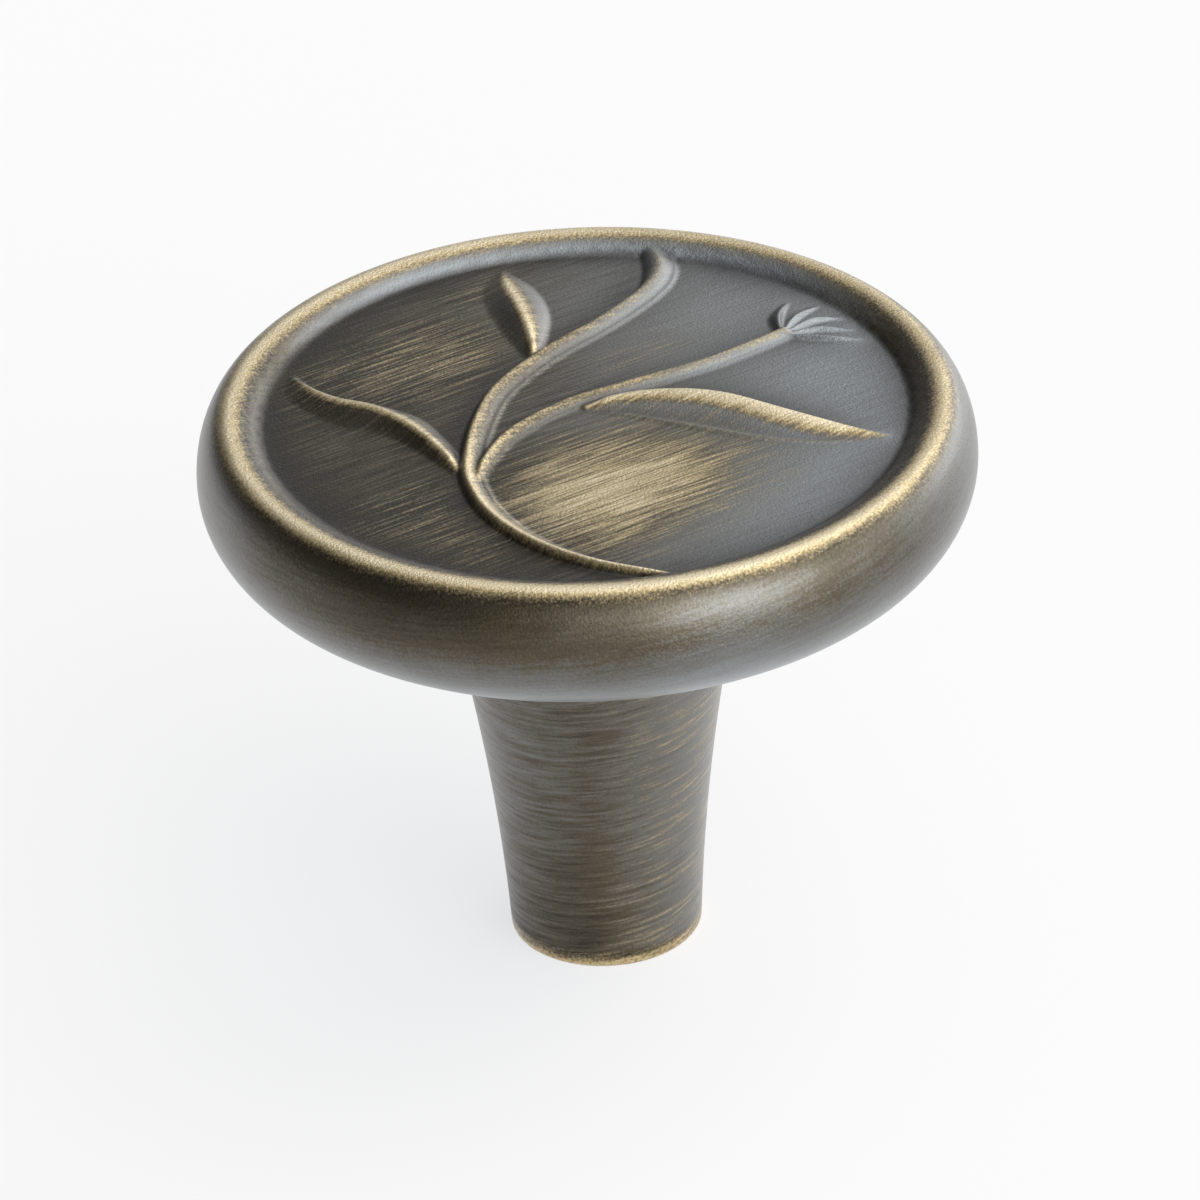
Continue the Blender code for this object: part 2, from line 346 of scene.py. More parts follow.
rim_height = 3.3
widest_height = head_height - rim_height
belly_depth = 4.3
underside_height = widest_height - belly_depth
belly_inset = 4.85
underside_radius = head_radius - belly_inset
neck_fillet = 4.2
neck_reach = 5.2
fillet_pull = 0.55
neck_height = underside_height - neck_fillet
foot_radius = 5.0
neck_radius = 7.45
straight_flare = 0.38
foot_edge = 0.2
foot_band = 0.8
hole_radius = 1.65
hole_depth = 14.0
hole_mouth = 0.5
drill_rise = 0.6
thread_pitch = 0.7
rows_per_turn = 7
body_steps = 256
hole_steps = 64
fine_spacing = 0.075
coarse_spacing = 0.45
rim_spacing = 0.12
near_ornament = 0.28
top_start = floor_height - 0.3
foot_zone = 0.9
foot_wear = 0.62
foot_wear_reach = 0.6
rim_wear_outward = 0.58
rim_wear_inward = 0.62
wall_blend = 0.2
belly_blend = 5.0

# Painted highlights on the dish floor, the lights' sheen stretched across the brush marks, drawn as
# pale gold rubbed patches: x, y, half length, half width, strength
painted_highlight_patches = (
    (1.0, -7.8, 7.6, 4.8, 0.66), (-8.8, 5.8, 6.5, 3.6, 0.3), (2.8, 5.6, 4.5, 2.0, 0.14),
    (-8.5, -9.0, 6.0, 3.0, 0.17), (-5.5, 13.0, 5.0, 2.0, 0.12), (-4.0, 2.0, 16.0, 12.0, 0.1),
)
patch_angle = math.radians(36)

blank = bmesh.new()
dish_layer = blank.verts.layers.float.new("dish")
thread_layer = blank.verts.layers.float.new("thread")
wear_and_highlight_layer = blank.verts.layers.float.new("rubbed")
thinning_and_light_layer = blank.verts.layers.float.new("thinned")
unbrushed_layer = blank.verts.layers.float.new("unbrushed")


def quarter(centre, across, upward, start, steps):
    """Points of a quarter ellipse in the (radius, height) plane."""
    points = []
    for step in range(steps + 1):
        angle = math.radians(start + 90.0 * step / steps)
        radius = centre[0] + across * math.cos(angle)
        points.append((radius, centre[1] + upward * math.sin(angle)))
    return points


def stem_radius(height):
    """Radius of the trumpet stem at a height above the foot."""
    rise = height / neck_height
    bend = straight_flare * rise + (1.0 - straight_flare) * rise * rise
    return foot_radius + (neck_radius - foot_radius) * bend


def body_outline():
    """Half section from the mouth of the hole up to the crest of the rim."""
    outline = [(hole_radius + hole_mouth, 0.0), (foot_radius - foot_edge - foot_band, 0.0)]
    edge_centre = (stem_radius(foot_edge) - foot_edge, foot_edge)
    outline += quarter(edge_centre, foot_edge, foot_edge, 270, 8)
    stem_steps = 24
    for step in range(1, stem_steps):
        height = foot_edge + (neck_height - foot_edge) * step / stem_steps
        outline.append((stem_radius(height), height))
    flare = (neck_radius - foot_radius) * (2.0 - straight_flare) / neck_height
    start = Vector((neck_radius, neck_height))
    end = Vector((neck_radius + neck_reach, underside_height))
    upward = start + Vector((flare, 1.0)) * neck_fillet * fillet_pull
    inward = end - Vector((neck_reach * fillet_pull, 0.0))
    outline += [(p.x, p.y) for p in interpolate_bezier(start, upward, inward, end, 16)]
    belly = (underside_radius, widest_height)
    outline += quarter(belly, head_radius - underside_radius, belly_depth, 270, 20)
    rim = (crest_radius, widest_height)
    outline += quarter(rim, head_radius - crest_radius, rim_height, 0, 20)[1:]
    return outline


def soft_ramp(value, start, end):
    """A ramp with soft ends."""
    share = ramp(value, start, end)
    return share * share * (3.0 - 2.0 * share)


def up_wall(radius):
    """Share of the way from the dish's floor to its wall."""
    return soft_ramp(radius, floor_radius - wall_blend, floor_radius + wall_blend)


def wear_and_highlight_at(x, y, z):
    """How far the dark skin is taken back to brass at a place, 0 to 1, by rubbing and by painted
    highlights on the dish floor and the stem's lit side.
    """
    radius = math.hypot(x, y)
    rub_and_light = 0.0
    if z < underside_height:
        # On the stem a little brass shows all round, and more to the right, the lit side, as
        # painted light
        rub_and_light = 0.07 + 0.13 * x / neck_radius
    if z > top_start:
        inward = rim_wear_inward + (0.1 * y - 0.04 * x) / crest_radius
        reach = rim_wear_outward if radius > crest_radius else inward
        spared = max(0.9 * x + 0.4 * y, -0.4 * x, 0.0) / crest_radius
        rub_and_light = (1.0 - 0.36 * spared) * bell(radius, crest_radius, reach)
    if z < 2 * foot_wear_reach:
        from_edge = math.hypot(radius - foot_radius + 0.05, z - 0.1)
        rub_and_light = max(rub_and_light, foot_wear * bell(from_edge, 0.0, foot_wear_reach))
    # Painted highlights on the dish floor, drawn as rubbed patches
    if z > top_start and radius < crest_radius:
        for patch_x, patch_y, along, across, depth in painted_highlight_patches:
            dx, dy = x - patch_x, y - patch_y
            u = (dx * math.cos(patch_angle) + dy * math.sin(patch_angle)) / along
            v = (dy * math.cos(patch_angle) - dx * math.sin(patch_angle)) / across
            left_there = depth * (1.0 - up_wall(radius))
            rub_and_light = max(rub_and_light, left_there * math.exp(-u * u - v * v))
    return rub_and_light


def above_neck(z):
    """Share of the way up the flare between the stem and the head."""
    return soft_ramp(z, neck_height, underside_height)


def thinning_and_light_at(x, y, z):
    """How light the dark skin is at a place, 0 to 1: a little from the brush thinning it, mostly
    painted light.
    """
    radius = math.hypot(x, y)
    if z > top_start and radius < crest_radius:
        # Painted light on the dish: the floor lighter to the right, towards the lights, and the
        # wall lighter at the back
        floor_tone = 0.74 * soft_ramp(x, -16.0, 13.0)
        wall_tone = 0.1 + 0.7 * ramp(y, 6.0, 15.0)
        return floor_tone + (wall_tone - floor_tone) * up_wall(radius)
    # Painted light on the head's side: lighter to the right, a painted highlight at the front right
    # where the lights fall, and a painted sheen at both far sides; the underside is lighter too
    sideways = x / max(radius, 0.1)
    to_right = ramp(sideways, -0.1, 0.9)
    down = 1.0 - ramp(z, underside_height, underside_height + belly_blend)
    in_front = bell(sideways, 0.36, 0.19)
    to_side = ramp(abs(sideways), 0.6, 1.0)
    head = 0.06 + 0.85 * down + 0.26 * in_front + 0.15 * down * to_right
    head += to_side * (1.0 - down) * (0.4 if x > 0 else 0.3)
    # On the stem: lighter to the right, where the lights fall, and darker towards the foot as
    # painted shade
    stem = 0.24 + 0.54 * to_right - 0.2 * max(1.0 - z / 9.0, 0.0)
    return stem + (head - stem) * above_neck(z)


def unbrushed_at(x, y, z):
    """How far a place was out of the brush's reach, 0 to 1."""
    radius = math.hypot(x, y)
    if z > top_start:
        return ramp(radius, floor_radius - 0.6, floor_radius + 0.6)
    return 1.0 if z < foot_zone else 0.8 * above_neck(z)


def add_ring(radius, height, steps):
    """One ring of points round the axis."""
    ring = []
    for step in range(steps):
        angle = 2 * math.pi * step / steps
        place = Vector((radius * math.cos(angle), radius * math.sin(angle), height))
        corner = blank.verts.new(place * MM)
        corner[wear_and_highlight_layer] = wear_and_highlight_at(*place)
        corner[thinning_and_light_layer] = thinning_and_light_at(*place)
        corner[unbrushed_layer] = unbrushed_at(*place)
        ring.append(corner)
    return ring


def bridge(ring, following):
    """Faces between two rings; the second may have more points."""
    more = len(following) // len(ring)
    for index, corner in enumerate(ring):
        beside = ring[(index + 1) % len(ring)]
        span = [following[(index * more + step) % len(following)] for step in range(more + 1)]
        blank.faces.new((corner, beside, *reversed(span)))


hole_point = blank.verts.new(Vector((0, 0, hole_depth + hole_radius * drill_rise)) * MM)
turn_count = (hole_depth - hole_mouth) / thread_pitch
hole_rows = round(turn_count * rows_per_turn)
previous = None
for row in range(hole_rows + 1):
    depth = hole_depth + (hole_mouth - hole_depth) * row / hole_rows
    ring = add_ring(hole_radius, depth, hole_steps)
    from_end = min(row, hole_rows - row) / rows_per_turn
    for corner in ring:
        corner[thread_layer] = min(max(from_end - 0.3, 0.0), 1.0)
    if previous is None:
        for index, corner in enumerate(ring):
            blank.faces.new((hole_point, ring[(index + 1) % hole_steps], corner))
    else:
        bridge(previous, ring)
    previous = ring
for radius, height in body_outline():
    ring = add_ring(radius, height, body_steps)
    bridge(previous, ring)
    previous = ring
crest_ring = previous


def lattice(spacing, reach):
    """A triangular lattice of flat places inside a circle."""
    step_up = spacing * math.sqrt(3) / 2
    rows = int(reach / step_up) + 1
    columns = int(reach / spacing) + 1
    for row in range(-rows, rows + 1):
        for column in range(-columns, columns + 1):
            place = Vector(((column + row % 2 / 2) * spacing, row * step_up))
            if place.length < reach:
                yield place


def dish_places():
    """Places for the dish's points: fine near the ornament and the rim."""
    drawn_places = kdtree.KDTree(len(ornament_mesh.vertices))
    for vertex in ornament_mesh.vertices:
        drawn_places.insert((vertex.co.x / MM, vertex.co.y / MM, 0.0), vertex.index)
    drawn_places.balance()
    places = []
    for place in lattice(fine_spacing, crest_radius - 0.1):
        if drawn_places.find((place.x, place.y, 0.0))[2] < near_ornament:
            places.append(place)
    for place in lattice(coarse_spacing, floor_radius - 0.4):
        if drawn_places.find((place.x, place.y, 0.0))[2] >= near_ornament:
            places.append(place)
    radius = floor_radius - 2 * rim_spacing
    while radius < crest_radius - rim_spacing / 2:
        for step in range(body_steps):
            angle = 2 * math.pi * step / body_steps
            place = Vector((radius * math.cos(angle), radius * math.sin(angle)))
            if drawn_places.find((place.x, place.y, 0.0))[2] >= near_ornament:
                places.append(place)
        radius += rim_spacing
    return places


rim_places = [Vector((corner.co.x, corner.co.y)) / MM for corner in crest_ring]
rim_count = len(rim_places)
rim_edges = [(index, (index + 1) % rim_count) for index in range(rim_count)]
points = rim_places + dish_places()
flat, _, faces, origins, _, _ = delaunay_2d_cdt(points, rim_edges, [], 1, 1e-7)
corners = []
for place, origin in zip(flat, origins):
    if origin and origin[0] < rim_count:
        corners.append(crest_ring[origin[0]])
        continue
    height = dish_height(place.length)
    corner = blank.verts.new(Vector((place.x, place.y, height)) * MM)
    corner[dish_layer] = 1.0
    corner[wear_and_highlight_layer] = wear_and_highlight_at(place.x, place.y, height)
    corner[thinning_and_light_layer] = thinning_and_light_at(place.x, place.y, height)
    corner[unbrushed_layer] = unbrushed_at(place.x, place.y, height)
    corners.append(corner)
for face in faces:
    blank.faces.new([corners[index] for index in face])

bmesh.ops.recalc_face_normals(blank, faces=blank.faces)
knob_mesh = bpy.data.meshes.new("knob_casting")
blank.to_mesh(knob_mesh)
blank.free()
knob_mesh.shade_smooth()
knob = bpy.data.objects.new("knob_casting", knob_mesh)
bpy.context.scene.collection.objects.link(knob)


# The finish: cast brass, oxidised in a bath to a dark grey brown, brushed with
# a wire wheel and lacquered. The eye gets a satin metal with straight fine
# scratches, which is rubbed back to pale gold on the rim and on each ridge.
# Painted light is drawn into its colour too: the skin lighter where the lights
# fall, painted highlights on the dish floor and the front of the stem, and
# painted shade in the leaves' concave middles and low on the stem.


def linear(colour):
    """Turn an sRGB hex colour into the linear colour that a socket takes."""
    values = []
    for start in (0, 2, 4):
        part = int(colour[start:start + 2], 16) / 255
        values.append(part / 12.92 if part <= 0.04045 else ((part + 0.055) / 1.055) ** 2.4)
    return (*values, 1.0)


def add_node(tree, kind, inputs, **settings):
    """Add a node, set its properties, and link or set its inputs."""
    node = tree.nodes.new(kind)
    for name, value in settings.items():
        setattr(node, name, value)
    for socket, value in inputs.items():
        if isinstance(value, bpy.types.NodeSocket):
            tree.links.new(value, node.inputs[socket])
        else:
            node.inputs[socket].default_value = value
    return node


brush_angle = math.radians(31)
side_angle = math.radians(7)
per_metre = 1.0 / MM
brush_contrast = 0.32
grain_contrast = 0.13

brass = bpy.data.materials.new("oxidised_cast_brass")
brass.use_nodes = True
finish_tree = brass.node_tree
shader = finish_tree.nodes["Principled BSDF"]
coordinates = add_node(finish_tree, "ShaderNodeTexCoord", {})
in_mm = add_node(finish_tree, "ShaderNodeMapping", {
    "Vector": coordinates.outputs["Object"], "Scale": (per_metre, per_metre, per_metre),
})
dish_mask = add_node(finish_tree, "ShaderNodeAttribute", {}, attribute_name="dish")
rubbed = add_node(finish_tree, "ShaderNodeAttribute", {}, attribute_name="rubbed")
thinned = add_node(finish_tree, "ShaderNodeAttribute", {}, attribute_name="thinned")
hollow = add_node(finish_tree, "ShaderNodeAttribute", {}, attribute_name="hollow")
unbrushed = add_node(finish_tree, "ShaderNodeAttribute", {}, attribute_name="unbrushed")

# Brush marks, straight across the dish and round the stem, in marks per mm. A
# wire wheel's own are too fine to show, so they are drawn as coarse as they need
# to be: 0.15 mm apart and 3.6 mm long, and on the sides 0.2 mm and 3 mm.
across_dish = add_node(finish_tree, "ShaderNodeMapping", {
    "Vector": in_mm.outputs["Vector"], "Rotation": (0, 0, brush_angle),
}, vector_type="TEXTURE")
dish_stretch = add_node(finish_tree, "ShaderNodeMapping", {
    "Vector": across_dish.outputs["Vector"], "Scale": (0.28, 6.5, 0.5),
})
dish_brush = add_node(finish_tree, "ShaderNodeTexNoise", {
    "Vector": dish_stretch.outputs["Vector"], "Scale": 1.0, "Detail": 3.0, "Roughness": 0.6,
})
side_slope = add_node(finish_tree, "ShaderNodeMapping", {
    "Vector": in_mm.outputs["Vector"], "Rotation": (0, -side_angle, 0),
}, vector_type="TEXTURE")
side_stretch = add_node(finish_tree, "ShaderNodeMapping", {
    "Vector": side_slope.outputs["Vector"], "Scale": (0.34, 0.34, 5.0),
})
side_brush = add_node(finish_tree, "ShaderNodeTexNoise", {
    "Vector": side_stretch.outputs["Vector"], "Scale": 1.0, "Detail": 3.0, "Roughness": 0.6,
})
brush = add_node(finish_tree, "ShaderNodeMix", {
    0: dish_mask.outputs["Fac"], 2: side_brush.outputs["Fac"], 3: dish_brush.outputs["Fac"],
}, data_type="FLOAT")

# Cast grain, 0.14 mm wide as fine sand leaves it, and the cloudy tone from the
# oxide bath, some 6 mm wide
grain = add_node(finish_tree, "ShaderNodeTexNoise", {
    "Vector": in_mm.outputs["Vector"], "Scale": 7.0, "Detail": 2.0, "Roughness": 0.6,
})
clouds = add_node(finish_tree, "ShaderNodeTexNoise", {
    "Vector": in_mm.outputs["Vector"], "Scale": 0.16, "Detail": 3.0, "Roughness": 0.55,
})

brush_swing = add_node(finish_tree, "ShaderNodeMapRange", {
    "Value": brush.outputs[0], "From Min": 0.3, "From Max": 0.7,
    "To Min": -brush_contrast, "To Max": brush_contrast,
})
brush_share = add_node(finish_tree, "ShaderNodeMapRange", {
    "Value": unbrushed.outputs["Fac"], "To Min": 1.0, "To Max": 0.25,
})
grain_swing = add_node(finish_tree, "ShaderNodeMapRange", {
    "Value": grain.outputs["Fac"], "From Min": 0.3, "From Max": 0.7,
    "To Min": -grain_contrast, "To Max": grain_contrast,
})
grain_share = add_node(finish_tree, "ShaderNodeMapRange", {
    "Value": unbrushed.outputs["Fac"], "To Min": 0.8, "To Max": 1.25,
})
grain_there = add_node(finish_tree, "ShaderNodeMath", {
    0: grain_swing.outputs[0], 1: grain_share.outputs[0],
}, operation="MULTIPLY")
swing = add_node(finish_tree, "ShaderNodeMath", {
    0: brush_swing.outputs[0], 1: brush_share.outputs[0], 2: grain_there.outputs[0],
}, operation="MULTIPLY_ADD")

# Rubbed to brass, painted highlights included: the mark is broken up by the strokes where it is
# partial
partial = add_node(finish_tree, "ShaderNodeMapRange", {
    "Value": rubbed.outputs["Fac"], "From Max": 0.14,
}, interpolation_type="SMOOTHSTEP")
swing_there = add_node(finish_tree, "ShaderNodeMath", {
    0: swing.outputs[0], 1: partial.outputs[0],
}, operation="MULTIPLY")
wear = add_node(finish_tree, "ShaderNodeMath", {
    0: rubbed.outputs["Fac"], 1: swing_there.outputs[0],
}, operation="ADD", use_clamp=True)

# The skin is browner beside the gold, and its tone follows the strokes, the clouds and the painted
# light that it carries
beside_gold = add_node(finish_tree, "ShaderNodeMath", {
    0: rubbed.outputs["Fac"], 1: -1.1, 2: thinned.outputs["Fac"],
}, operation="MULTIPLY_ADD")
tone = add_node(finish_tree, "ShaderNodeMath", {
    0: swing.outputs[0], 1: 0.55, 2: beside_gold.outputs[0],
}, operation="MULTIPLY_ADD")
tone_and_cloud = add_node(finish_tree, "ShaderNodeMath", {
    0: clouds.outputs["Fac"], 1: 0.3, 2: tone.outputs[0],
}, operation="MULTIPLY_ADD")
skin = add_node(finish_tree, "ShaderNodeValToRGB", {"Fac": tone_and_cloud.outputs[0]})
skin.color_ramp.elements[0].position = 0.0
skin.color_ramp.elements[0].color = linear("2b2416")
skin.color_ramp.elements[1].position = 1.0
skin.color_ramp.elements[1].color = linear("858a8d")
middle_skin = skin.color_ramp.elements.new(0.3)
middle_skin.color = linear("483f2c")
bared = add_node(finish_tree, "ShaderNodeValToRGB", {"Fac": wear.outputs[0]})
bared.color_ramp.elements[0].position = 0.1
bared.color_ramp.elements[0].color = linear("4b412b")
bared.color_ramp.elements[1].position = 1.0
bared.color_ramp.elements[1].color = linear("f1e0ba")
gold = bared.color_ramp.elements.new(0.5)
gold.color = linear("a99466")
bared_share = add_node(finish_tree, "ShaderNodeMapRange", {
    "Value": wear.outputs[0], "From Min": 0.0, "From Max": 0.56,
})
metal = add_node(finish_tree, "ShaderNodeMix", {
    0: bared_share.outputs[0], 6: skin.outputs["Color"], 7: bared.outputs["Color"],
}, data_type="RGBA")
# Tarnish in low places, with the painted shade of the leaves, darkens the colour
tarnish_and_shade_share = add_node(finish_tree, "ShaderNodeMapRange", {"Value": hollow.outputs["Fac"], "To Max": 0.75})
colour = add_node(finish_tree, "ShaderNodeMix", {
    0: tarnish_and_shade_share.outputs[0], 6: metal.outputs[2], 7: linear("1a1613"),
}, data_type="RGBA")
roughness = add_node(finish_tree, "ShaderNodeMapRange", {
    "Value": wear.outputs[0], "To Min": 0.46, "To Max": 0.36,
})
brush_bump = add_node(finish_tree, "ShaderNodeBump", {
    "Height": brush.outputs[0], "Strength": 0.4, "Distance": 0.00003,
})
grain_bump = add_node(finish_tree, "ShaderNodeBump", {
    "Height": grain.outputs["Fac"], "Normal": brush_bump.outputs["Normal"],
    "Strength": 0.8, "Distance": 0.00005,
})
glossy = add_node(finish_tree, "ShaderNodeMath", {
    0: tone_and_cloud.outputs[0], 1: wear.outputs[0],
}, operation="MAXIMUM")
dulled = add_node(finish_tree, "ShaderNodeMath", {
    0: hollow.outputs["Fac"], 1: -0.3, 2: glossy.outputs[0],
}, operation="MULTIPLY_ADD")
coat = add_node(finish_tree, "ShaderNodeMapRange", {
    "Value": dulled.outputs[0], "From Min": 0.0, "From Max": 0.4, "To Min": 0.45, "To Max": 1.0,
})
finish_tree.links.new(coat.outputs[0], shader.inputs["Coat Weight"])
finish_tree.links.new(colour.outputs[2], shader.inputs["Base Color"])
finish_tree.links.new(roughness.outputs[0], shader.inputs["Roughness"])
finish_tree.links.new(grain_bump.outputs["Normal"], shader.inputs["Normal"])
shader.inputs["Metallic"].default_value = 1.0
shader.inputs["Coat Roughness"].default_value = 0.38


# The finished casting. The ornament is one with the dish, with edges softened
# by the sand, and the hole is tapped for the screw. The wear and painted light
# drawn on each raised form show on it, and what lies lower than its
# surroundings stays dark.

casting = bpy.data.node_groups.new("finish_casting", "GeometryNodeTree")
sockets = {}
for name, kind in (
    ("Geometry", "NodeSocketGeometry"), ("Ornament", "NodeSocketObject"),
    ("Ray Top", "NodeSocketFloat"), ("Soften Steps", "NodeSocketInt"),
    ("Wear Steps", "NodeSocketInt"), ("Proud Height", "NodeSocketFloat"),
    ("Slope Thinning", "NodeSocketFloat"),
    ("Thread Pitch", "NodeSocketFloat"), ("Thread Depth", "NodeSocketFloat"),
    ("Material", "NodeSocketMaterial"),
):
    socket = casting.interface.new_socket(name, in_out="INPUT", socket_type=kind)
    sockets[name] = socket.identifier
casting.interface.new_socket("Geometry", in_out="OUTPUT", socket_type="NodeSocketGeometry")
given = add_node(casting, "NodeGroupInput", {})
position = add_node(casting, "GeometryNodeInputPosition", {})
apart = add_node(casting, "ShaderNodeSeparateXYZ", {0: position.outputs[0]})
in_dish = add_node(casting, "GeometryNodeInputNamedAttribute", {
    "Name": "dish",
}, data_type="FLOAT")
above = add_node(casting, "ShaderNodeCombineXYZ", {
    0: apart.outputs[0], 1: apart.outputs[1], 2: given.outputs["Ray Top"],
})
form = add_node(casting, "GeometryNodeObjectInfo", {"Object": given.outputs["Ornament"]})
form_wear_and_light = add_node(casting, "GeometryNodeInputNamedAttribute", {
    "Name": "wear",
}, data_type="FLOAT")
ray = add_node(casting, "GeometryNodeRaycast", {
    "Target Geometry": form.outputs["Geometry"], "Source Position": above.outputs[0],
    "Ray Direction": (0, 0, -1), "Ray Length": 0.01, "Attribute": form_wear_and_light.outputs[0],
}, data_type="FLOAT")
form_shelter = add_node(casting, "GeometryNodeInputNamedAttribute", {
    "Name": "shelter",
}, data_type="FLOAT")
shelter_ray = add_node(casting, "GeometryNodeRaycast", {
    "Target Geometry": form.outputs["Geometry"], "Source Position": above.outputs[0],
    "Ray Direction": (0, 0, -1), "Ray Length": 0.01, "Attribute": form_shelter.outputs[0],
}, data_type="FLOAT")
struck = add_node(casting, "ShaderNodeSeparateXYZ", {0: ray.outputs["Hit Position"]})
higher = add_node(casting, "ShaderNodeMath", {
    0: apart.outputs[2], 1: struck.outputs[2],
}, operation="MAXIMUM")
on_form = add_node(casting, "ShaderNodeMath", {
    0: ray.outputs["Is Hit"], 1: in_dish.outputs[0],
}, operation="MULTIPLY")
raised = add_node(casting, "ShaderNodeMix", {
    0: on_form.outputs[0], 2: apart.outputs[2], 3: higher.outputs[0],
}, data_type="FLOAT")
softened = add_node(casting, "GeometryNodeBlurAttribute", {
    "Value": raised.outputs[0], "Iterations": given.outputs["Soften Steps"],
    "Weight": in_dish.outputs[0],
}, data_type="FLOAT")
new_place = add_node(casting, "ShaderNodeCombineXYZ", {
    0: apart.outputs[0], 1: apart.outputs[1], 2: softened.outputs[0],
})
above_floor = add_node(casting, "ShaderNodeMath", {
    0: struck.outputs[2], 1: apart.outputs[2],
}, operation="GREATER_THAN")
shows = add_node(casting, "ShaderNodeMath", {
    0: above_floor.outputs[0], 1: on_form.outputs[0],
}, operation="MULTIPLY")
drawn_wear_and_light = add_node(casting, "ShaderNodeMath", {
    0: ray.outputs["Attribute"], 1: shows.outputs[0],
}, operation="MULTIPLY")
soft_wear_and_light = add_node(casting, "GeometryNodeBlurAttribute", {
    "Value": drawn_wear_and_light.outputs[0], "Iterations": given.outputs["Soften Steps"],
    "Weight": in_dish.outputs[0],
}, data_type="FLOAT")
with_drawn = add_node(casting, "GeometryNodeStoreNamedAttribute", {
    "Geometry": given.outputs["Geometry"], "Name": "drawn", "Value": soft_wear_and_light.outputs[0],
}, data_type="FLOAT", domain="POINT")
first_unbrushed = add_node(casting, "GeometryNodeInputNamedAttribute", {
    "Name": "unbrushed",
}, data_type="FLOAT")
form_unbrushed = add_node(casting, "ShaderNodeMath", {
    0: shows.outputs[0], 1: shelter_ray.outputs["Attribute"],
}, operation="MULTIPLY")
all_unbrushed = add_node(casting, "ShaderNodeMath", {
    0: first_unbrushed.outputs[0], 1: form_unbrushed.outputs[0],
}, operation="MAXIMUM")
with_unbrushed = add_node(casting, "GeometryNodeStoreNamedAttribute", {
    "Geometry": with_drawn.outputs[0], "Name": "unbrushed", "Value": all_unbrushed.outputs[0],
}, data_type="FLOAT", domain="POINT")
first_thinning_and_light = add_node(casting, "GeometryNodeInputNamedAttribute", {
    "Name": "thinned",
}, data_type="FLOAT")
more_thinning_and_light = add_node(casting, "ShaderNodeMath", {
    0: shows.outputs[0], 1: given.outputs["Slope Thinning"], 2: first_thinning_and_light.outputs[0],
}, operation="MULTIPLY_ADD")
with_thinning_and_light = add_node(casting, "GeometryNodeStoreNamedAttribute", {
    "Geometry": with_unbrushed.outputs[0], "Name": "thinned", "Value": more_thinning_and_light.outputs[0],
}, data_type="FLOAT", domain="POINT")
pressed = add_node(casting, "GeometryNodeSetPosition", {
    "Geometry": with_thinning_and_light.outputs[0], "Selection": in_dish.outputs[0],
    "Position": new_place.outputs[0],
})

# The drawn wear and painted light join the body's own, and tarnish gathers in what lies low, along
# with the painted shade in the leaves' concave middles
lifted = add_node(casting, "ShaderNodeSeparateXYZ", {0: position.outputs[0]})
around = add_node(casting, "GeometryNodeBlurAttribute", {
    "Value": lifted.outputs[2], "Iterations": given.outputs["Wear Steps"],
    "Weight": in_dish.outputs[0],
}, data_type="FLOAT")
proud = add_node(casting, "ShaderNodeMath", {
    0: lifted.outputs[2], 1: around.outputs[0],
}, operation="SUBTRACT")
proud_share = add_node(casting, "ShaderNodeMath", {
    0: proud.outputs[0], 1: given.outputs["Proud Height"],
}, operation="DIVIDE")
first_wear_and_highlight = add_node(casting, "GeometryNodeInputNamedAttribute", {
    "Name": "rubbed",
}, data_type="FLOAT")
kept_wear_and_light = add_node(casting, "GeometryNodeInputNamedAttribute", {
    "Name": "drawn",
}, data_type="FLOAT")
all_wear_and_light = add_node(casting, "ShaderNodeMath", {
    0: kept_wear_and_light.outputs[0], 1: first_wear_and_highlight.outputs[0],
}, operation="MAXIMUM")
low_share = add_node(casting, "ShaderNodeMath", {
    0: proud_share.outputs[0], 1: -1.0,
}, operation="MULTIPLY", use_clamp=True)
kept_tarnish_and_shade = add_node(casting, "ShaderNodeMath", {
    0: kept_wear_and_light.outputs[0], 1: -1.0,
}, operation="MULTIPLY", use_clamp=True)
all_tarnish_and_shade = add_node(casting, "ShaderNodeMath", {
    0: low_share.outputs[0], 1: kept_tarnish_and_shade.outputs[0],
}, operation="MAXIMUM")
with_wear = add_node(casting, "GeometryNodeStoreNamedAttribute", {
    "Geometry": pressed.outputs[0], "Name": "rubbed", "Value": all_wear_and_light.outputs[0],
}, data_type="FLOAT", domain="POINT")
with_hollow = add_node(casting, "GeometryNodeStoreNamedAttribute", {
    "Geometry": with_wear.outputs[0], "Name": "hollow", "Value": all_tarnish_and_shade.outputs[0],
}, data_type="FLOAT", domain="POINT")

# The tapped thread: a V that winds up the wall of the hole
thread_weight = add_node(casting, "GeometryNodeInputNamedAttribute", {
    "Name": "thread",
}, data_type="FLOAT")
round_axis = add_node(casting, "ShaderNodeMath", {
    0: lifted.outputs[1], 1: lifted.outputs[0],
}, operation="ARCTAN2")
turned = add_node(casting, "ShaderNodeMath", {
    0: round_axis.outputs[0], 1: 2 * math.pi,
}, operation="DIVIDE")
climbed = add_node(casting, "ShaderNodeMath", {
    0: lifted.outputs[2], 1: given.outputs["Thread Pitch"],
}, operation="DIVIDE")
phase = add_node(casting, "ShaderNodeMath", {
    0: climbed.outputs[0], 1: turned.outputs[0],
}, operation="SUBTRACT")
tooth = add_node(casting, "ShaderNodeMath", {0: phase.outputs[0], 1: 0.5}, operation="PINGPONG")
tooth_share = add_node(casting, "ShaderNodeMath", {
    0: tooth.outputs[0], 1: 2.0,
}, operation="MULTIPLY")
tooth_weight = add_node(casting, "ShaderNodeMath", {
    0: tooth_share.outputs[0], 1: thread_weight.outputs[0],
}, operation="MULTIPLY")
